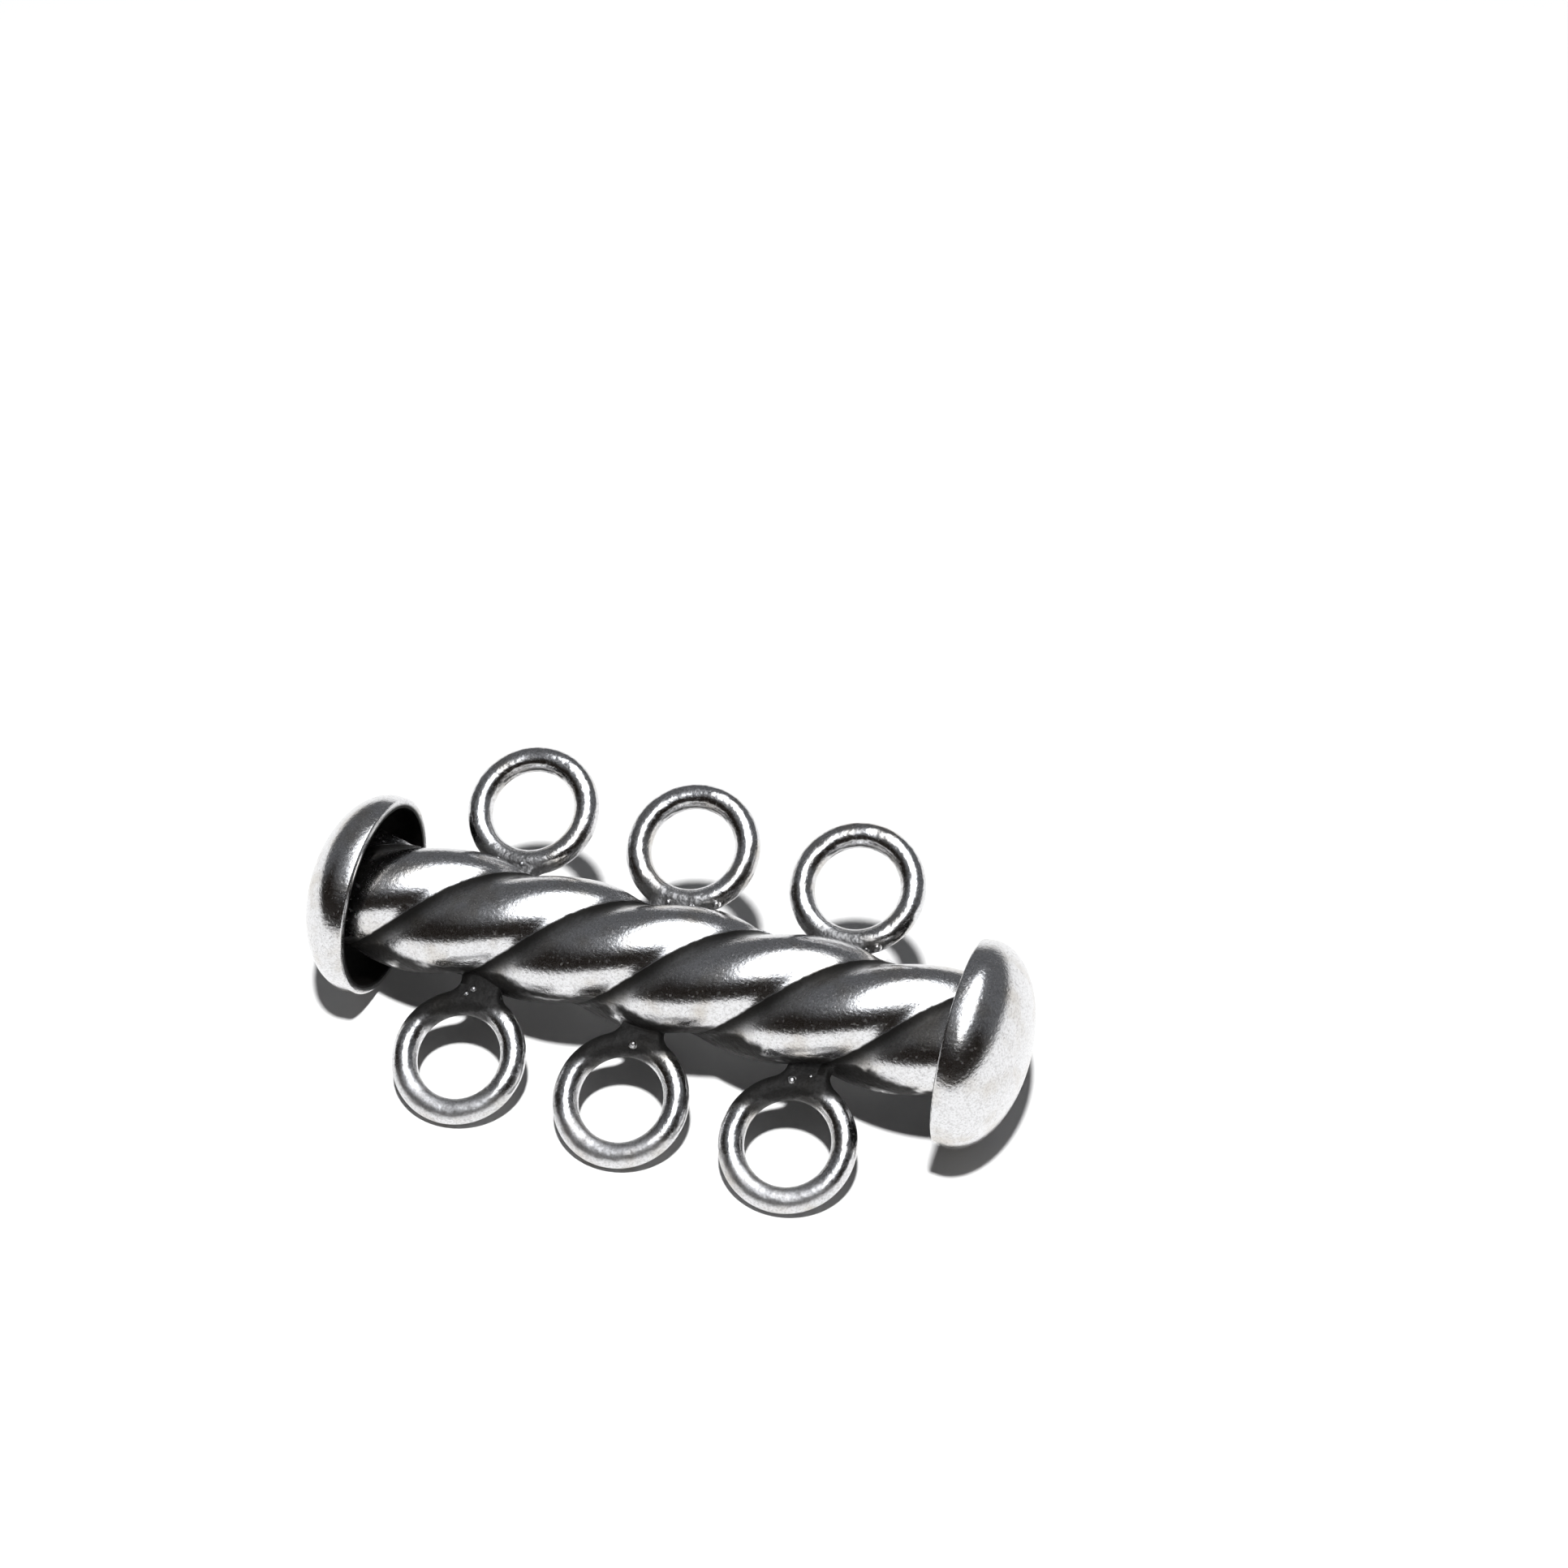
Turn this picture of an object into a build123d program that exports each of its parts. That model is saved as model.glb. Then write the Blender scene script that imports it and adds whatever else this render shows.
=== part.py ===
from build123d import *
import math
import os

# Three-strand slide clasp in silver: a twisted sleeve with a slot along its back, and a tube that slides in it.
# Millimetres. X runs along the clasp, the sleeve's loops reach to the front and the slide's to the back.

# Slide
slide_diameter = 3.1
slide_wall = 0.35
slide_clearance = 0.05     # between the slide and the sleeve's bore, on the radius
slide_end_gap = 0.9        # from the slide's inner end to the edge of the sleeve's cap

# Twisted sleeve
side_wall = 0.25           # wall left between the bore and the middle of each flat side
ridge_rise = 0.33          # from the middle of a side up to the crest of a ridge
ridge_count = 3
twist_pitch = 12.15        # length of one full turn
twist_phase = -8.0         # where a side faces at the middle of the clasp, in degrees from the back
sleeve_overlap = 1.15      # how far the sleeve's open end reaches into the slide's cap

# Caps
rim_span = 19.7            # between the open edges of the two caps
cap_overhang = 1.16        # how far a cap stands out past the ridges, all round
cap_height = 2.25          # from the open edge to the top of the dome
cap_skirt = 0.4            # straight part of the cap's side
cap_wall = 0.3
cap_edge_round = 0.1
seat_gap = 0.03            # between a cap and the tube end it sits on

# Loops
loop_wire = 0.83
loop_hole = 2.77
loop_count = 3
sleeve_loop_spacing = 5.59
slide_loop_spacing = 5.62
sleeve_row_shift = -0.09   # middle of each row, from the middle of the clasp
slide_row_shift = -0.3
sleeve_loop_lift = 0.11    # from the ridges of the sleeve to the nearest side of a loop
slide_loop_lift = 0.27     # from the slide to the nearest side of a loop
slot_clearance = 0.17      # between the slot's edge and the loop's wire, on each side
slot_end_clearance = 0.4   # between the closed end of the slot and the last loop

# Solder under each loop
sleeve_solder_length = 2.0
slide_solder_length = 1.7
solder_taper = 0.8         # how much shorter it is at the loop than at the tube
solder_thickness = 0.62
solder_sink = 0.12         # how far it goes into the tube's wall

slide_radius = slide_diameter / 2
bore_radius = slide_radius + slide_clearance
side_radius = bore_radius + side_wall
sleeve_radius = side_radius + ridge_rise
cap_radius = sleeve_radius + cap_overhang
rim_x = rim_span / 2
wire_radius = loop_wire / 2
loop_radius = (loop_hole + loop_wire) / 2
loop_outer_radius = loop_radius + wire_radius
sleeve_loop_reach = sleeve_radius + sleeve_loop_lift + loop_outer_radius
slide_loop_reach = slide_radius + slide_loop_lift + loop_outer_radius
slot_width = loop_wire + 2 * slot_clearance


def dome_depth(radius):
    """Distance from a cap's open edge to the inside of its dome, at this distance from the axis."""
    rise = cap_height - cap_skirt - cap_wall
    return cap_skirt + rise * math.sqrt(1 - (radius / (cap_radius - cap_wall)) ** 2)


def dome(wall):
    """Solid dome that lies this far inside a cap's outer face, with its flat side at the origin."""
    half_width = cap_radius - wall
    rise = cap_height - cap_skirt - wall
    with BuildSketch() as section:
        with BuildLine():
            Line((0, 0), (0, half_width))
            Line((0, half_width), (cap_skirt, half_width))
            EllipticalCenterArc((cap_skirt, 0), rise, half_width, arc_size=90)
            Line((cap_skirt + rise, 0), (0, 0))
        make_face()
    return revolve(section.sketch, axis=Axis.X)


def domed_cap():
    """Hollow domed cap with its open edge at the origin and its dome towards +X."""
    cap = dome(0) - dome(cap_wall)
    rim = cap.faces().sort_by(Axis.X)[0].edges()
    return fillet(rim, cap_edge_round)


def sleeve_outline():
    """Outline of the sleeve across its axis: flat sides that run smoothly into rounded ridges."""
    half_turn = math.pi / ridge_count
    ridge_middle = ridge_rise / (1 - math.cos(half_turn))
    ridge_radius = sleeve_radius - ridge_middle
    foot = Vector(ridge_middle + ridge_radius * math.cos(half_turn), ridge_radius * math.sin(half_turn))
    other_foot = Vector(foot.X, -foot.Y)
    edges = [
        ThreePointArc(other_foot, (sleeve_radius, 0), foot),
        Line(foot, other_foot.rotate(Axis.Z, 360 / ridge_count)),
    ]
    return Wire([edge.rotate(Axis.Z, i * 360 / ridge_count) for i in range(ridge_count) for edge in edges])


def loop(reach, seat_radius, solder_length):
    """Round wire loop that reaches to the back, with a tapered bed of solder down to its tube."""
    ring = Torus(loop_radius, wire_radius).moved(Location((0, reach, 0)))
    foot = Plane.XZ.offset(-(seat_radius - solder_sink))
    top = Plane.XZ.offset(-(reach - loop_radius))
    bed = loft([
        foot * SlotOverall(solder_length, solder_thickness),
        top * SlotOverall(solder_length - solder_taper, solder_thickness),
    ])
    return ring + bed


def row(one_loop, spacing, shift):
    """Copies of a loop in a row along the clasp."""
    first = shift - spacing * (loop_count - 1) / 2
    return [one_loop.moved(Location((first + i * spacing, 0, 0))) for i in range(loop_count)]


def rod(radius, start, stop):
    """Solid round rod along the clasp's axis from one place to another."""
    return Cylinder(radius, stop - start).rotate(Axis.Y, 90).moved(Location(((start + stop) / 2, 0, 0)))


def twisted_tube(start, stop):
    """Twisted sleeve without its loops, with its bore and the slot along its back."""
    degrees_per_mm = -360 / twist_pitch
    first_angle = twist_phase + 180 / ridge_count + start * degrees_per_mm
    length = stop - start
    outline = sleeve_outline().rotate(Axis.Z, first_angle)
    tube = Solid.extrude_linear_with_rotation(outline, (0, 0, 0), (0, 0, length), length * degrees_per_mm)
    tube = tube.rotate(Axis.Y, 90).rotate(Axis.X, 90).moved(Location((start, 0, 0)))
    # a loop's width where it stands in the slot
    loop_half_width = math.sqrt(loop_outer_radius**2 - (slide_loop_reach - sleeve_radius) ** 2)
    last_loop = slide_row_shift + slide_loop_spacing * (loop_count - 1) / 2
    slot_end = last_loop + loop_half_width + slot_end_clearance
    slot = Box(
        slot_end - start, cap_radius, slot_width, align=(Align.MIN, Align.MIN, Align.CENTER)
    ).moved(Location((start, 0, 0)))
    return tube - rod(bore_radius, start, stop) - slot


def twisted_sleeve():
    """Sleeve with its front row of loops."""
    start = -rim_x - sleeve_overlap
    stop = rim_x + dome_depth(sleeve_radius) - seat_gap
    front_loop = loop(sleeve_loop_reach, side_radius, sleeve_solder_length).rotate(Axis.Z, 180)
    sleeve = twisted_tube(start, stop)
    for one in row(front_loop, sleeve_loop_spacing, sleeve_row_shift):
        sleeve += one
    return sleeve


def slide_tube():
    """Plain tube that slides in the sleeve, with the back row of loops."""
    start = -rim_x - dome_depth(slide_radius) + seat_gap
    stop = rim_x - slide_end_gap
    back_loop = loop(slide_loop_reach, slide_radius, slide_solder_length)
    tube = rod(slide_radius, start, stop) - rod(slide_radius - slide_wall, start, stop)
    for one in row(back_loop, slide_loop_spacing, slide_row_shift):
        tube += one
    return tube


# The clasp lies rolled forward, on the edges of its caps and the tips of its front loops
roll = math.asin((cap_radius - wire_radius) / (sleeve_loop_reach + loop_radius))
# The origin is on the surface it lies on, midway between the tips of the two rows of loops
axis_shift = (sleeve_loop_reach - slide_loop_reach) * math.cos(roll) / 2

cap = domed_cap()
pieces = {
    "twisted_sleeve": twisted_sleeve(),
    "sleeve_cap": cap.moved(Location((rim_x, 0, 0))),
    "slide_tube": slide_tube(),
    "slide_cap": cap.rotate(Axis.Z, 180).moved(Location((-rim_x, 0, 0))),
}

os.makedirs("parts", exist_ok=True)
for name, piece in pieces.items():
    placed = piece.rotate(Axis.X, math.degrees(roll)).moved(Location((0, axis_shift, cap_radius)))
    export_step(placed, f"parts/{name}.step")
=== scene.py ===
import bmesh
import bpy
import math

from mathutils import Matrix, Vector


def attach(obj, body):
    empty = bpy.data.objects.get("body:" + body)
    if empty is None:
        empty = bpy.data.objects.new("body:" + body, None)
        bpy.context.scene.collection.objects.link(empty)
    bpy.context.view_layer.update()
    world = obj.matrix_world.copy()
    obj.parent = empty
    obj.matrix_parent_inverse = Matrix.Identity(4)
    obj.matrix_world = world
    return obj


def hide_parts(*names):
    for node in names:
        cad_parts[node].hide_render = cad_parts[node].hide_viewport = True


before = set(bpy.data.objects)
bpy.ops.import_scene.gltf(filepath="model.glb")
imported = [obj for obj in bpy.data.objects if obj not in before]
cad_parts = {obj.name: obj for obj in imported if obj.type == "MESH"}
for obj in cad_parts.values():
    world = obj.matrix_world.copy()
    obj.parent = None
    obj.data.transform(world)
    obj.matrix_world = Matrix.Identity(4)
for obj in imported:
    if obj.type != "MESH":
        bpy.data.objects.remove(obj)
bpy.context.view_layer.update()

# Sizes of the clasp, in millimetres
MM = 0.001
SLIDE_RADIUS = 1.55
SLIDE_WALL = 0.35
BORE_RADIUS = 1.6
SIDE_RADIUS = 1.85
SLEEVE_RADIUS = 2.18
RIDGES = 3
TWIST_PITCH = 12.15
TWIST_PHASE = -8.0     # where a side faces at the middle of the clasp, in degrees from the back
SLEEVE_ENDS = (-11.0, 11.30)
SLIDE_ENDS = (-11.55, 8.95)
SLOT_WIDTH = 1.17
SLOT_END = 6.93        # just past the last of the slide's loops
CAP_RADIUS = 3.34
CAP_RISE = 1.85
CAP_SKIRT = 0.4
CAP_WALL = 0.3
CAP_DRAW_IN = 0.991    # the rim's share of the cap's width
RIM_X = 9.85           # from the middle of the clasp to each cap's rim
LOOP_RADIUS = 1.8
WIRE_RADIUS = 0.415
# How far the loops' middles are from the clasp's axis, and where they are along it
SLEEVE_LOOP_REACH = 4.505
SLIDE_LOOP_REACH = 4.035
SLEEVE_LOOPS = {"left": -5.68, "middle": -0.09, "right": 5.5}
SLIDE_LOOPS = {"left": -5.92, "middle": -0.3, "right": 5.32}

# How far a loop's foot reaches in, and its half length and half thickness above the tube and on it
SLEEVE_FOOT_AT = 1.73
SLEEVE_FOOT = ((0.62, 0.26), (0.9, 0.36))
SLIDE_FOOT_AT = 1.45
SLIDE_FOOT = ((0.75, 0.33), (0.95, 0.36))
FOOT_FLARE = 0.34      # height of the flare at the tube
FOOT_WIDTH = 1.5       # how much of the wire it grows out of

# Rounded edges
SLEEVE_EDGE = 0.04
SLIDE_EDGE = 0.05
CAP_EDGE = 0.09
SLOT_CORNER = 0.12
WORN_EDGE = 0.03       # how far the finish alone softens the edges

# Height of the finest relief of the finish
RELIEF = 0.004

# Beads of solder that ran up the loops: place and radius
FRONT_BEADS = [
    (-5.83, -2.31, 0.27, 0.12), (-6.0, -2.52, 0.34, 0.085), (-5.03, -2.42, 0.17, 0.12),
    (-0.14, -2.77, 0.41, 0.11), (0.4, -2.38, 0.22, 0.09),
    (5.14, -2.61, 0.39, 0.12), (5.66, -2.33, 0.26, 0.08),
]
BACK_BEADS = [
    (-6.45, 2.05, 0.3, 0.12), (-5.6, 2.1, 0.36, 0.08),
    (-0.46, 2.03, 0.35, 0.11), (0.3, 2.08, 0.38, 0.08), (1.05, 2.36, 0.25, 0.12),
    (4.91, 2.05, 0.33, 0.11), (6.52, 2.24, 0.26, 0.12), (6.2, 2.1, 0.22, 0.08),
]

# It lies rolled forward about its own axis, which is a cap's radius above the table
ROLL = math.asin((CAP_RADIUS - WIRE_RADIUS) / (SLEEVE_LOOP_REACH + LOOP_RADIUS))
AXIS_SHIFT = (SLEEVE_LOOP_REACH - SLIDE_LOOP_REACH) * math.cos(ROLL) / 2

# From a ridge's crest to the middle of a side, and the arc that a ridge follows across the clasp
HALF_TURN = math.pi / RIDGES
RIDGE_CENTRE = (SLEEVE_RADIUS - SIDE_RADIUS) / (1 - math.cos(HALF_TURN))
RIDGE_RADIUS = SLEEVE_RADIUS - RIDGE_CENTRE
TURN_PER_MM = -2 * math.pi / TWIST_PITCH

# Faces
RIDGE_STEPS = 28
SIDE_STEPS = 8
TWIST_STEPS = 240
TUBE_SIDES = 96
LOOP_STEPS = 48
WIRE_SIDES = 12
DOME_SIDES = 128
DOME_RINGS = 64
SMOOTH_ANGLE = math.radians(32)
SAME_PLACE = 0.002     # how near points are that count as one place
MERGE_WITHIN = 0.0005

# Colours of the silver, and of what is round it
POLISHED = (0.80, 0.80, 0.81, 1)
TARNISHED = (0.64, 0.61, 0.57, 1)
SCUFFED = (0.34, 0.33, 0.32, 1)
OXIDE_AND_PAINTED_SHADE_BLACK = (0.012, 0.011, 0.010, 1)
PAPER = (0.59, 0.59, 0.59, 1)
PALE_PAPER = (0.61, 0.61, 0.61, 1)
ROOM_IN_FRONT = (0.014, 0.011, 0.009, 1)
ROOM_ABOVE = (0.19, 0.195, 0.205, 1)
ROOM_BEHIND = (0.12, 0.123, 0.13, 1)

# Table, lights and camera, in metres
TABLE_SIZE = 6.0
LAMP_PLACE = (0.019, -0.041, 0.2)
LAMP_RADIUS = 0.007
LAMP_STRENGTH = 72.0
PANEL_PLACE = (0.0355, 0, 0.25)
PANEL_SIZE = (0.157, 0.356)
PANEL_POWER = 0.269
HALO_PLACE = (0.042, 0, 0.26)
HALO_SIZE = (0.212, 0.461)
HALO_POWER = 0.24
HALO_COLOUR = (0.92, 0.95, 1.0)
CAMERA_PLACE = (0.024652, -0.057955, 0.072701)
CAMERA_TURN = (45.842, 0.522, 18.935)
CAMERA_LENS = 66.85
CAMERA_NEAR = 0.005


class Value:
    """A socket of a finish, so that sums of masks and patterns read as sums."""

    def __init__(self, finish, socket):
        self.finish = finish
        self.socket = socket

    def maths(self, operation, *values):
        """The result of a Math node on these values."""
        return self.finish.node("ShaderNodeMath", {"operation": operation}, dict(enumerate(values)))

    def __add__(self, other):
        return self.maths("ADD", self, other)

    def __sub__(self, other):
        return self.maths("SUBTRACT", self, other)

    def __rsub__(self, other):
        return self.maths("SUBTRACT", other, self)

    def __mul__(self, other):
        return self.maths("MULTIPLY", self, other)

    __radd__ = __add__
    __rmul__ = __mul__

    def root(self):
        return self.maths("SQRT", self)

    def size(self):
        return self.maths("ABSOLUTE", self)


class Finish:
    """The nodes of one material, lamp or world."""

    def __init__(self, owner, end="ShaderNodeOutputMaterial"):
        self.owner = owner
        owner.use_nodes = True
        self.tree = owner.node_tree
        self.tree.nodes.clear()
        self.shader_end = self.tree.nodes.new(end)

    def node(self, kind, settings=None, sockets=None, output=0):
        """One output of a new node, made with its settings and the values or links of its sockets."""
        made = self.tree.nodes.new(kind)
        for name, setting in (settings or {}).items():
            setattr(made, name, setting)
        for name, value in (sockets or {}).items():
            if isinstance(value, Value):
                self.tree.links.new(value.socket, made.inputs[name])
            else:
                made.inputs[name].default_value = value
        return Value(self, made.outputs[output])

    def show(self, shader):
        """Ends the nodes with this shader, and gives back what they belong to."""
        self.tree.links.new(shader.socket, self.shader_end.inputs["Surface"])
        return self.owner

    def blend(self, first, second, amount):
        """One colour turning into another."""
        return self.node("ShaderNodeMix", {"data_type": "RGBA"}, {0: amount, 6: first, 7: second}, 2)

    def rise(self, value, low, high):
        """0 below low, 1 above high, and smooth in between."""
        sockets = {"Value": value, "From Min": low, "From Max": high}
        return self.node("ShaderNodeMapRange", {"interpolation_type": "SMOOTHSTEP"}, sockets)

    def clouds(self, place, size, detail=3.0, stretch=(1, 1, 1)):
        """Cloudy pattern from 0 to 1 with spots of about this size in millimetres."""
        stretched = self.node("ShaderNodeVectorMath", {"operation": "MULTIPLY"}, {0: place, 1: stretch})
        return self.node("ShaderNodeTexNoise", {}, {"Vector": stretched, "Scale": 1 / size, "Detail": detail})

    def either(self, first, second):
        """The stronger of two masks."""
        return self.node("ShaderNodeMath", {"operation": "MAXIMUM"}, {0: first, 1: second})

    def place(self):
        """Position in millimetres from the clasp's middle, with X along its axis and Y to the back."""
        sockets = {
            "Vector": self.node("ShaderNodeTexCoord", output=3),
            "Location": (0, AXIS_SHIFT * MM, CAP_RADIUS * MM),
            "Rotation": (ROLL, 0, 0),
            "Scale": (MM, MM, MM),
        }
        return self.node("ShaderNodeMapping", {"vector_type": "TEXTURE"}, sockets)

    def split(self, place):
        """The X, Y and Z of a position."""
        parts = self.node("ShaderNodeSeparateXYZ", {}, {0: place})
        return [Value(self, socket) for socket in parts.socket.node.outputs]

    def from_nearest(self, x, shift, spacing):
        """Distance along the clasp from the nearest loop of a row, below 0 on its left."""
        limits = {0: x - shift, 1: spacing / 2, 2: -spacing / 2}
        return self.node("ShaderNodeMath", {"operation": "WRAP"}, limits)

    def from_side(self, x, y, z):
        """Angle round the axis from the middle of the nearest side, below 0 towards the back, in radians."""
        angle = self.node("ShaderNodeMath", {"operation": "ARCTAN2"}, {0: z, 1: y})
        untwisted = angle - x * TURN_PER_MM - math.radians(TWIST_PHASE)
        return self.node("ShaderNodeMath", {"operation": "WRAP"}, {0: untwisted, 1: HALF_TURN, 2: -HALF_TURN})

    def beads(self):
        """1 on the beads of solder."""
        return self.node("ShaderNodeAttribute", {"attribute_name": "bead"}, output=2)

    def silver(self, place, oxide_and_painted_shade, solder, wobble, rubbed=0.0):
        """Polished silver that has been handled.
        Masks give it dark oxide and painted shade, lumpy solder, uneven wire and rubbed, satin places."""
        tarnish = self.rise(self.clouds(place, 1.1, 2.0), 0.45, 0.75)
        grain = self.clouds(place, 0.1, 4.0)
        hairlines = self.clouds(place, 0.3, 3.0, (0.35, 4.0, 4.0))
        pits = self.rise(self.clouds(place, 0.13, 1.0), 0.62, 0.7)
        specks = self.rise(self.clouds(place, 0.07, 1.0), 0.4, 0.7)
        lumps = self.clouds(place, 0.28, 2.0)
        waves = self.clouds(place, 0.6, 2.0)
        bright = self.blend(POLISHED, TARNISHED, tarnish)
        worn = self.blend(bright, SCUFFED, self.either(pits * 0.35, specks * 0.4))
        # painted shade: besides oxide, this darkening carries painted shade at the sleeve's feet, on its
        # underside and inside its loops
        colour = self.blend(worn, OXIDE_AND_PAINTED_SHADE_BLACK, 2.0 * oxide_and_painted_shade - oxide_and_painted_shade * oxide_and_painted_shade)
        wear = 0.10 * grain + 0.06 * hairlines + 0.10 * pits
        roughness = 0.11 + wear + 0.12 * solder + 0.45 * oxide_and_painted_shade * oxide_and_painted_shade + 0.22 * rubbed
        edges = self.node("ShaderNodeBevel", {"samples": 4}, {"Radius": WORN_EDGE * MM})
        height = 1.5 * grain + 0.5 * hairlines - 0.3 * pits + 14.0 * lumps * solder + 12.0 * waves * wobble
        relief = {"Height": height, "Distance": RELIEF * MM, "Normal": edges}
        sockets = {
            "Base Color": colour,
            "Metallic": 1.0 - 0.15 * oxide_and_painted_shade,
            "Roughness": roughness,
            "Normal": self.node("ShaderNodeBump", {}, relief),
        }
        return self.show(self.node("ShaderNodeBsdfPrincipled", {}, sockets))


def sleeve_silver():
    """Bright ridges and loops, a dark groove beside each ridge, a black bore, feet darkened with oxide and
    painted shade, and painted shade on the underside and inside the loops.
    """
    finish = Finish(bpy.data.materials.new("sleeve_silver"))
    place = finish.place()
    x, y, z = finish.split(place)
    front = 0.0 - y
    ragged = 0.3 * finish.clouds(place, 0.35) - 0.15
    radius = (y * y + z * z).root()
    wire = finish.rise(radius, SLEEVE_RADIUS + 0.03, SLEEVE_RADIUS + 0.15)
    inside = 1.0 - finish.rise(radius, BORE_RADIUS + 0.05, SIDE_RADIUS - 0.08)
    # a groove has a sharp edge towards the back and fades towards the front
    turn = finish.from_side(x, y, z) + 0.25 * ragged
    groove = 0.9 * (1.0 - wire) * finish.rise(turn, -0.19, -0.12) * (1.0 - finish.rise(turn, -0.1, 0.5))
    # the feet are darkened with oxide and with painted shade, which runs further along a loop on its left and
    # further still on its inner side, where the loop mirrors the shaded table
    along = finish.from_nearest(x, SLEEVE_LOOPS["middle"], SLEEVE_LOOPS["right"] - SLEEVE_LOOPS["middle"])
    out = front + 0.35 * along + ragged
    foot = wire * (1.0 - finish.rise(out, 2.95, 3.45))
    beyond = front - SLEEVE_LOOP_REACH
    from_middle = (along * along + beyond * beyond).root()
    inner_side = 1.0 - finish.rise(from_middle, LOOP_RADIUS - 0.3, LOOP_RADIUS - 0.05)
    # painted shade on the inner side of each loop near its foot, where it mirrors the shaded table
    painted_shade_inside_loops = 0.85 * wire * inner_side * (1.0 - finish.rise(out, 3.25, 3.6))
    # painted shade: the underside is darkened beside the feet and in patches, where it mirrors the tube's
    # shadow on the table
    beside = 1.0 - finish.rise((0.6 * along * along + z * z).root() + ragged, 0.45, 0.8)
    cloudy = finish.rise(finish.clouds(place, 0.9, 2.0, (0.7, 1.0, 1.0)), 0.3, 0.45)
    patches = cloudy * (1.0 - finish.rise(z + ragged, 0.75, 1.05))
    painted_shade_underneath = (1.0 - wire) * finish.either(beside, patches) * finish.rise(front, 1.5, 1.8)
    # painted shade: the feet, the inner sides of the loops and the underside are darkened together with the
    # oxide on the feet
    feet_oxide_and_painted_shade = 0.8 * (finish.either(foot, painted_shade_inside_loops) + painted_shade_underneath) * (1.0 - finish.beads())
    oxide_and_painted_shade = finish.either(finish.either(groove, inside), feet_oxide_and_painted_shade)
    # the tips of the loops are rubbed by what they lie on
    rubbed = wire * finish.rise(front + 0.5 * ragged, 4.9, 5.9)
    return finish.silver(place, oxide_and_painted_shade, foot + painted_shade_underneath, wire * (1.0 - foot), rubbed)


def slide_silver():
    """Bright tube and loops, lumpy, darkened solder at the loops' feet, and oxide inside the tube."""
    finish = Finish(bpy.data.materials.new("slide_silver"))
    place = finish.place()
    _, y, z = finish.split(place)
    radius = (y * y + z * z).root()
    wire = finish.rise(radius, SLIDE_RADIUS + 0.03, SLIDE_RADIUS + 0.15)
    foot = wire * (1.0 - finish.rise(y + 0.3 * finish.clouds(place, 0.35), 2.3, 2.9))
    inside = 1.0 - finish.rise(radius, SLIDE_RADIUS - SLIDE_WALL, SLIDE_RADIUS - 0.1)
    oxide_and_painted_shade = finish.either(inside, 0.45 * foot * (1.0 - finish.beads()))
    return finish.silver(place, oxide_and_painted_shade, foot, wire * (1.0 - foot))


def cap_silver():
    """Polished dome, black inside."""
    finish = Finish(bpy.data.materials.new("cap_silver"))
    place = finish.place()
    x, y, z = finish.split(place)
    along = finish.either(x.size() - (RIM_X + CAP_SKIRT), 0.0) * (1 / CAP_RISE)
    across = (y * y + z * z).root() * (1 / CAP_RADIUS)
    depth = 1.0 - (along * along + across * across).root()
    inside = finish.rise(depth, 0.05, 0.085)
    return finish.silver(place, inside, 0.0, 0.2 * across)


def open_shape(piece):
    """Starts work on the mesh of this piece alone, in edit mode."""
    bpy.ops.object.select_all(action="DESELECT")
    bpy.context.view_layer.objects.active = piece
    piece.select_set(True)
    bpy.ops.object.mode_set(mode="EDIT")


def close_shape():
    """Ends work on the open mesh."""
    bpy.ops.object.mode_set(mode="OBJECT")


def pick(kind, test):
    """Selects the points, edges or faces of the open piece that pass the test."""
    bpy.ops.mesh.select_mode(type=kind)
    bpy.ops.mesh.select_all(action="DESELECT")
    mesh = bpy.context.object.data
    shell = bmesh.from_edit_mesh(mesh)
    for part in {"VERT": shell.verts, "EDGE": shell.edges, "FACE": shell.faces}[kind]:
        part.select_set(test(part))
    bmesh.update_edit_mesh(mesh)


def middle(part):
    """Middle of an edge or face, in millimetres."""
    points = [corner.co for corner in part.verts]
    return sum(points[1:], points[0].copy()) / (len(points) * MM)


def use(piece, kind, **settings):
    """Gives a piece a modifier and applies it."""
    open_shape(piece)
    close_shape()
    modifier = piece.modifiers.new(kind.lower(), kind)
    for name, setting in settings.items():
        setattr(modifier, name, setting)
    bpy.ops.object.modifier_apply(modifier=modifier.name)


def outside_out():
    """Merges the doubles of the open piece and turns every face outwards."""
    bpy.ops.mesh.select_all(action="SELECT")
    bpy.ops.mesh.remove_doubles(threshold=MERGE_WITHIN * MM)
    bpy.ops.mesh.normals_make_consistent(inside=False)


def join(pieces, name):
    """Makes one piece of several."""
    bpy.ops.object.select_all(action="DESELECT")
    for piece in pieces:
        piece.select_set(True)
    bpy.context.view_layer.objects.active = pieces[0]
    bpy.ops.object.join()
    pieces[0].name = name
    pieces[0].data.name = name
    return pieces[0]


def settle(piece):
    """Keeps the piece's place in its mesh, so that its object sits at the origin."""
    bpy.ops.object.select_all(action="DESELECT")
    piece.select_set(True)
    bpy.context.view_layer.objects.active = piece
    bpy.ops.object.transform_apply(location=True, rotation=True, scale=True)
    return piece


def lay_down(piece, finish):
    """Rolls a piece forward with the clasp, onto the table, and gives it its finish."""
    settle(piece)
    piece.rotation_euler = (ROLL, 0, 0)
    piece.location = (0, AXIS_SHIFT * MM, CAP_RADIUS * MM)
    settle(piece)
    bpy.ops.object.shade_smooth_by_angle(angle=SMOOTH_ANGLE)
    piece.data.materials.clear()
    piece.data.materials.append(finish)
    return piece


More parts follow.
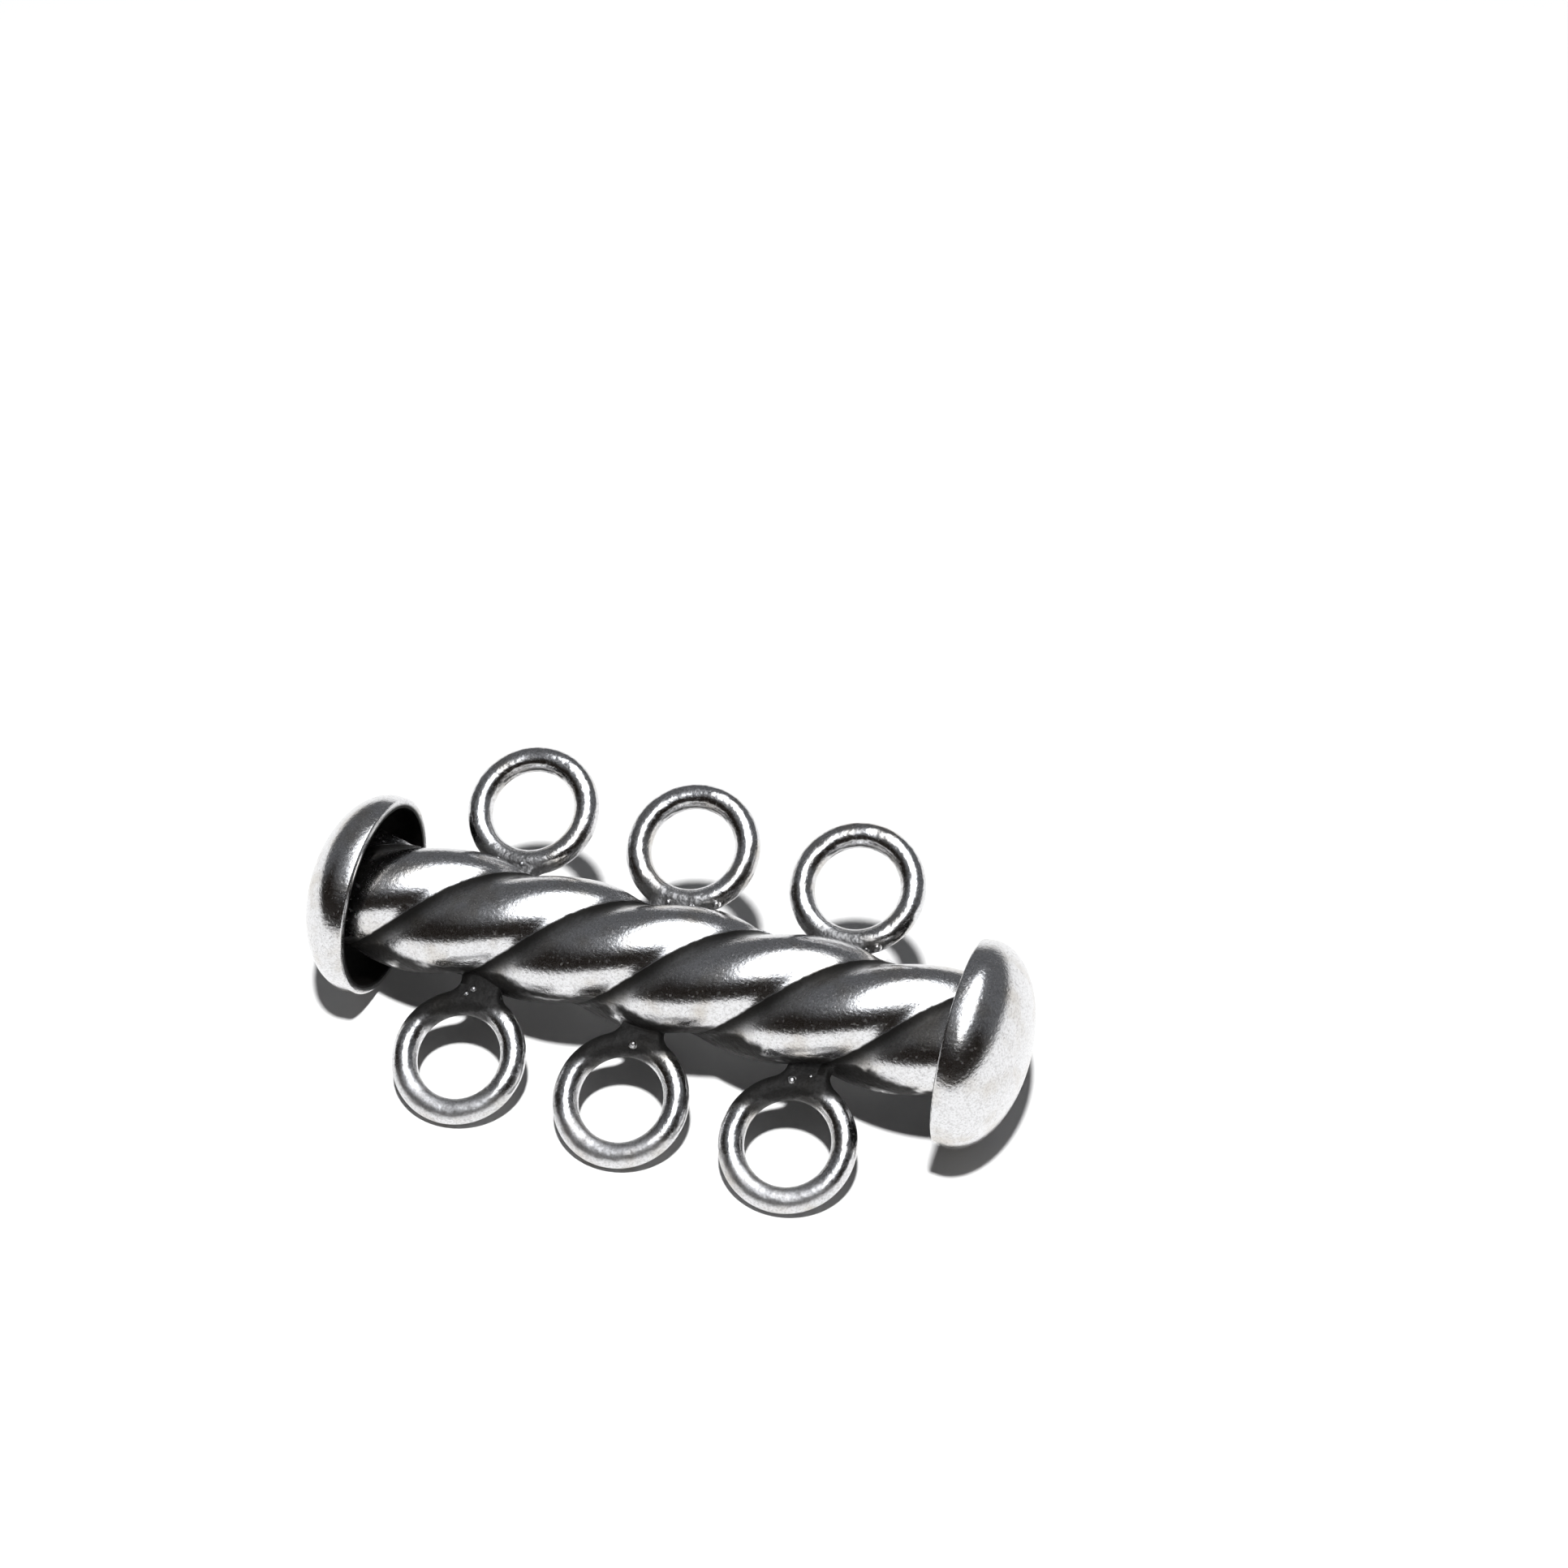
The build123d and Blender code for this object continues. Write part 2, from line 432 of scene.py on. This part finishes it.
def ridge_outline(x, crest):
    """Draws the sleeve's outline at x, from the selected point on: rounded ridges with flat sides between."""
    side_step = 2 * RIDGE_CENTRE * math.sin(HALF_TURN) / SIDE_STEPS * MM
    for ridge in range(RIDGES):
        towards = crest + 2 * HALF_TURN * ridge
        bpy.ops.mesh.spin(
            steps=RIDGE_STEPS, angle=-2 * HALF_TURN, axis=(1, 0, 0),
            center=(x * MM, RIDGE_CENTRE * math.cos(towards) * MM, RIDGE_CENTRE * math.sin(towards) * MM),
        )
        along = towards + HALF_TURN + math.pi / 2
        step = (0, side_step * math.cos(along), side_step * math.sin(along))
        for _ in range(SIDE_STEPS):
            bpy.ops.mesh.extrude_vertices_move(TRANSFORM_OT_translate={"value": step})


def ridged_tube():
    """Twisted tube with three ridges: one outline, screwed along the clasp, with a round bore cut out."""
    start, stop = SLEEVE_ENDS
    crest = math.radians(TWIST_PHASE) + HALF_TURN + start * TURN_PER_MM
    first = (
        RIDGE_CENTRE * math.cos(crest) + RIDGE_RADIUS * math.cos(crest - HALF_TURN),
        RIDGE_CENTRE * math.sin(crest) + RIDGE_RADIUS * math.sin(crest - HALF_TURN),
    )
    bpy.ops.mesh.primitive_plane_add(size=0.1 * MM, location=(start * MM, first[0] * MM, first[1] * MM))
    tube = settle(bpy.context.object)
    open_shape(tube)
    bpy.ops.mesh.select_all(action="SELECT")
    bpy.ops.mesh.merge(type="CENTER")
    pick("VERT", lambda point: True)
    ridge_outline(start, crest)
    bpy.ops.mesh.select_all(action="SELECT")
    bpy.ops.mesh.remove_doubles(threshold=SAME_PLACE * MM)
    close_shape()
    length = stop - start
    use(
        tube, "SCREW", axis="X", angle=length * TURN_PER_MM, screw_offset=length * MM,
        steps=TWIST_STEPS, render_steps=TWIST_STEPS,
    )
    open_shape(tube)
    for end in SLEEVE_ENDS:
        pick("EDGE", lambda edge: edge.is_boundary and lies_at(edge, end))
        bpy.ops.mesh.edge_face_add()
    outside_out()
    for end in SLEEVE_ENDS:
        pick("EDGE", lambda edge: lies_at(edge, end))
        bpy.ops.mesh.bevel(offset=SLEEVE_EDGE * MM, segments=2)
    close_shape()
    bpy.ops.mesh.primitive_cylinder_add(
        vertices=TUBE_SIDES, radius=BORE_RADIUS * MM, depth=(length + 2) * MM,
        location=((start + stop) / 2 * MM, 0, 0), rotation=(0, math.pi / 2, 0),
    )
    cut_away(tube, settle(bpy.context.object))
    open_shape(tube)
    for end in SLEEVE_ENDS:
        pick("EDGE", lambda edge: lies_at(edge, end) and distance(edge.verts[0]) < BORE_RADIUS + 0.01)
        bpy.ops.mesh.bevel(offset=SLEEVE_EDGE * MM, segments=2)
    close_shape()
    return tube


def lies_at(edge, end):
    """Whether both points of an edge are in the plane across the clasp at this place."""
    return all(abs(point.co.x / MM - end) < SAME_PLACE for point in edge.verts)


def runs_round(edge):
    """Whether an edge runs round the clasp's axis."""
    return abs(distance(edge.verts[0]) - distance(edge.verts[1])) < 0.01


def distance(point):
    """Distance of a point from the clasp's axis, in millimetres."""
    return math.hypot(point.co.y, point.co.z) / MM


def cut_away(piece, cutter):
    """Takes the cutter's shape out of a piece."""
    use(piece, "BOOLEAN", object=cutter, operation="DIFFERENCE", solver="EXACT")
    bpy.data.objects.remove(cutter)


def cut_slot(tube):
    """Cuts the slot along the back, from the open end to just past the last of the slide's loops."""
    start = SLEEVE_ENDS[0] - 1
    bpy.ops.mesh.primitive_cube_add(
        size=MM, location=((start + SLOT_END) / 2 * MM, CAP_RADIUS / 2 * MM, 0),
        scale=(SLOT_END - start, CAP_RADIUS, SLOT_WIDTH),
    )
    cutter = settle(bpy.context.object)
    open_shape(cutter)
    pick("EDGE", lambda edge: lies_at(edge, SLOT_END) and abs(middle(edge).z) > 0.1)
    bpy.ops.mesh.bevel(offset=SLOT_CORNER * MM, segments=4)
    close_shape()
    cut_away(tube, cutter)
    return tube


def wire_loop(reach, foot_at, foot_half, side):
    """Round wire loop at the clasp's middle, on the back for side 1 and on the front for side -1.
    Its foot is drawn out of the wire, down to foot_at from the axis, and flares like a bed of solder."""
    # drawn a little larger, because the subdivision draws it in
    wire = WIRE_RADIUS * 3 / (2 + math.cos(2 * math.pi / WIRE_SIDES))
    bend = LOOP_RADIUS * 3 / (2 + math.cos(2 * math.pi / LOOP_STEPS))
    bpy.ops.mesh.primitive_circle_add(
        vertices=WIRE_SIDES, radius=wire * MM, location=(bend * MM, 0, 0), rotation=(math.pi / 2, 0, 0)
    )
    loop = settle(bpy.context.object)
    open_shape(loop)
    bpy.ops.mesh.select_all(action="SELECT")
    bpy.ops.mesh.spin(steps=LOOP_STEPS, angle=2 * math.pi, center=(0, 0, 0), axis=(0, 0, 1))
    outside_out()
    # the foot grows out of the loop's -Y side, towards the tube
    half = FOOT_WIDTH / 2
    pick("FACE", lambda face: face.normal.y < -0.5 and middle(face).y < 0 and abs(middle(face).x) < half)
    foot = reach - foot_at
    # pulled out, then flattened at its place and brought to its size
    for drop, (half_long, half_thick) in zip((foot - FOOT_FLARE, foot), foot_half):
        bpy.ops.mesh.extrude_region_move(TRANSFORM_OT_translate={"value": (0, -0.1 * MM, 0)})
        patch = [v.co / MM for v in bmesh.from_edit_mesh(loop.data).verts if v.select]
        long_now = max(abs(point.x) for point in patch)
        thick_now = max(abs(point.z) for point in patch)
        bpy.ops.transform.resize(
            value=(half_long / long_now, 0.02, half_thick / thick_now), center_override=(0, -drop * MM, 0)
        )
    close_shape()
    use(loop, "SUBSURF", levels=2, render_levels=2)
    if side < 0:
        loop.rotation_euler = (0, 0, math.pi)
    loop.location = (0, side * reach * MM, 0)
    return settle(loop)


def solder_bead(x, y, z, size):
    """Small bright bead of solder, flattened onto the wire or the foot that it sits on."""
    bpy.ops.mesh.primitive_uv_sphere_add(segments=20, ring_count=12, radius=size * MM)
    bead = bpy.context.object
    open_shape(bead)
    pick("VERT", lambda point: point.co.z < -0.1 * size * MM)
    bpy.ops.transform.resize(value=(1.5, 1.3, 0.6), center_override=(0, 0, 0))
    close_shape()
    shine = bead.data.attributes.new("bead", "FLOAT", "POINT")
    for point in shine.data:
        point.value = 1.0
    bead.location = (x * MM, y * MM, z * MM)
    return settle(bead)


def copy_to(piece, place):
    """A copy with its own mesh, moved by this much, in millimetres."""
    twin = piece.copy()
    twin.data = piece.data.copy()
    bpy.context.scene.collection.objects.link(twin)
    twin.location = [part * MM for part in place]
    return settle(twin)


def row_of(loop, places):
    """One loop at each place along the clasp."""
    loops = [copy_to(loop, (x, 0, 0)) for x in places]
    bpy.data.objects.remove(loop)
    return loops


def twisted_sleeve():
    """The sleeve with its slot and its front row of loops."""
    tube = cut_slot(ridged_tube())
    loop = wire_loop(SLEEVE_LOOP_REACH, SLEEVE_FOOT_AT, SLEEVE_FOOT, -1)
    beads = [solder_bead(*bead) for bead in FRONT_BEADS]
    return join([tube, *row_of(loop, SLEEVE_LOOPS.values()), *beads], "silver_sleeve")


def slide_tube():
    """The plain tube that slides in the sleeve, with the back row of loops."""
    start, stop = SLIDE_ENDS
    bpy.ops.mesh.primitive_cylinder_add(
        vertices=TUBE_SIDES, radius=SLIDE_RADIUS * MM, depth=(stop - start) * MM, end_fill_type="NOTHING",
        location=((start + stop) / 2 * MM, 0, 0), rotation=(0, math.pi / 2, 0),
    )
    tube = settle(bpy.context.object)
    use(tube, "SOLIDIFY", thickness=SLIDE_WALL * MM, offset=-1)
    open_shape(tube)
    for end in SLIDE_ENDS:
        pick("EDGE", lambda edge: lies_at(edge, end) and runs_round(edge))
        bpy.ops.mesh.bevel(offset=SLIDE_EDGE * MM, segments=2)
    close_shape()
    loop = wire_loop(SLIDE_LOOP_REACH, SLIDE_FOOT_AT, SLIDE_FOOT, 1)
    beads = [solder_bead(*bead) for bead in BACK_BEADS]
    return join([tube, *row_of(loop, SLIDE_LOOPS.values()), *beads], "silver_slide")


def domed_cap(name, side):
    """Hollow domed cap: half a ball, flattened, with a short straight skirt and a rounded rim."""
    bpy.ops.mesh.primitive_uv_sphere_add(
        segments=DOME_SIDES, ring_count=DOME_RINGS, radius=CAP_RADIUS * MM, rotation=(0, math.pi / 2, 0)
    )
    cap = settle(bpy.context.object)
    open_shape(cap)
    bpy.ops.mesh.select_all(action="SELECT")
    bpy.ops.mesh.bisect(plane_co=(0, 0, 0), plane_no=(1, 0, 0), clear_inner=True, threshold=0.001 * MM)
    bpy.ops.mesh.select_all(action="SELECT")
    bpy.ops.transform.resize(value=(CAP_RISE / CAP_RADIUS, 1, 1), center_override=(0, 0, 0))
    pick("EDGE", lambda edge: edge.is_boundary)
    bpy.ops.mesh.extrude_region_move(TRANSFORM_OT_translate={"value": (-CAP_SKIRT * MM, 0, 0)})
    bpy.ops.transform.resize(value=(1, CAP_DRAW_IN, CAP_DRAW_IN), center_override=(-CAP_SKIRT * MM, 0, 0))
    outside_out()
    close_shape()
    use(cap, "SOLIDIFY", thickness=CAP_WALL * MM, offset=-1)
    open_shape(cap)
    pick("EDGE", lambda edge: lies_at(edge, -CAP_SKIRT) and runs_round(edge))
    bpy.ops.mesh.bevel(offset=CAP_EDGE * MM, segments=4)
    close_shape()
    cap.location = (side * (RIM_X + CAP_SKIRT) * MM, 0, 0)
    if side < 0:
        cap.rotation_euler = (0, 0, math.pi)
    cap.name = name
    return settle(cap)


def table():
    """Plain white table top."""
    bpy.ops.mesh.primitive_plane_add(size=TABLE_SIZE)
    top = bpy.context.object
    top.name = "table"
    finish = Finish(bpy.data.materials.new("white_table"))
    colour = finish.blend(PAPER, PALE_PAPER, finish.clouds(finish.place(), 30.0))
    matt = {"Base Color": colour, "Roughness": 0.9, "Specular IOR Level": 0.0}
    top.data.materials.append(finish.show(finish.node("ShaderNodeBsdfPrincipled", {}, matt)))


def light(name, kind, place, aim, power, **settings):
    """A light at this place, turned towards what it aims at."""
    lamp = bpy.data.lights.new(name, kind)
    lamp.energy = power
    for setting, value in settings.items():
        setattr(lamp, setting, value)
    lamp_object = bpy.data.objects.new(name, lamp)
    bpy.context.scene.collection.objects.link(lamp_object)
    lamp_object.location = place
    direction = [end - begin for begin, end in zip(place, aim)]
    lamp_object.rotation_euler = Vector(direction).to_track_quat("-Z", "Y").to_euler()
    return lamp_object


def even(lamp_object, strength):
    """Makes a lamp light the near and the far parts of the table alike."""
    finish = Finish(lamp_object.data, "ShaderNodeOutputLight")
    constant = finish.node("ShaderNodeLightFalloff", {}, {"Strength": strength}, 2)
    finish.show(finish.node("ShaderNodeEmission", {}, {"Strength": constant}))


def soft_panel(name, place, size, power):
    """Large soft oval light above the clasp that only the silver mirrors."""
    wide, deep = size
    below = (place[0], place[1], 0)
    panel = light(name, "AREA", place, below, power, shape="ELLIPSE", size=wide, size_y=deep)
    panel.visible_diffuse = False
    return panel


def dark_room():
    """Surroundings that the silver mirrors: brown and nearly black in front, grey behind and above."""
    finish = Finish(bpy.data.worlds.new("studio"), "ShaderNodeOutputWorld")
    _, y, z = finish.split(finish.node("ShaderNodeTexCoord"))
    front = finish.blend(ROOM_IN_FRONT, ROOM_ABOVE, finish.rise(z, 0.5, 0.95))
    colour = finish.blend(front, ROOM_BEHIND, finish.rise(y, -0.3, 0.2))
    return finish.show(finish.node("ShaderNodeBackground", {}, {"Color": colour}))


sleeve = lay_down(twisted_sleeve(), sleeve_silver())
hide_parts("twisted_sleeve")
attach(sleeve, "sleeve")

slide = lay_down(slide_tube(), slide_silver())
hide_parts("slide_tube")
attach(slide, "slide")

cap_finish = cap_silver()
sleeve_cap = lay_down(domed_cap("sleeve_dome", 1), cap_finish)
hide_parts("sleeve_cap")
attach(sleeve_cap, "sleeve")

slide_cap = lay_down(domed_cap("slide_dome", -1), cap_finish)
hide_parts("slide_cap")
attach(slide_cap, "slide")

table()

# A small lamp overhead lights the table and throws the shadows. The silver mirrors a bright panel, and a dim
# halo round it.
lamp = light("lamp", "POINT", LAMP_PLACE, (0, 0, 0), 1.0, shadow_soft_size=LAMP_RADIUS)
even(lamp, LAMP_STRENGTH)
lamp.visible_glossy = False
soft_panel("panel", PANEL_PLACE, PANEL_SIZE, PANEL_POWER)
halo = soft_panel("halo", HALO_PLACE, HALO_SIZE, HALO_POWER)
halo.data.color = HALO_COLOUR

bpy.context.scene.world = dark_room()

camera = bpy.data.cameras.new("camera")
camera.lens = CAMERA_LENS
camera.clip_start = CAMERA_NEAR
camera_object = bpy.data.objects.new("camera", camera)
bpy.context.scene.collection.objects.link(camera_object)
camera_object.location = CAMERA_PLACE
camera_object.rotation_euler = [math.radians(angle) for angle in CAMERA_TURN]
bpy.context.scene.camera = camera_object
bpy.context.scene.view_settings.view_transform = "Standard"
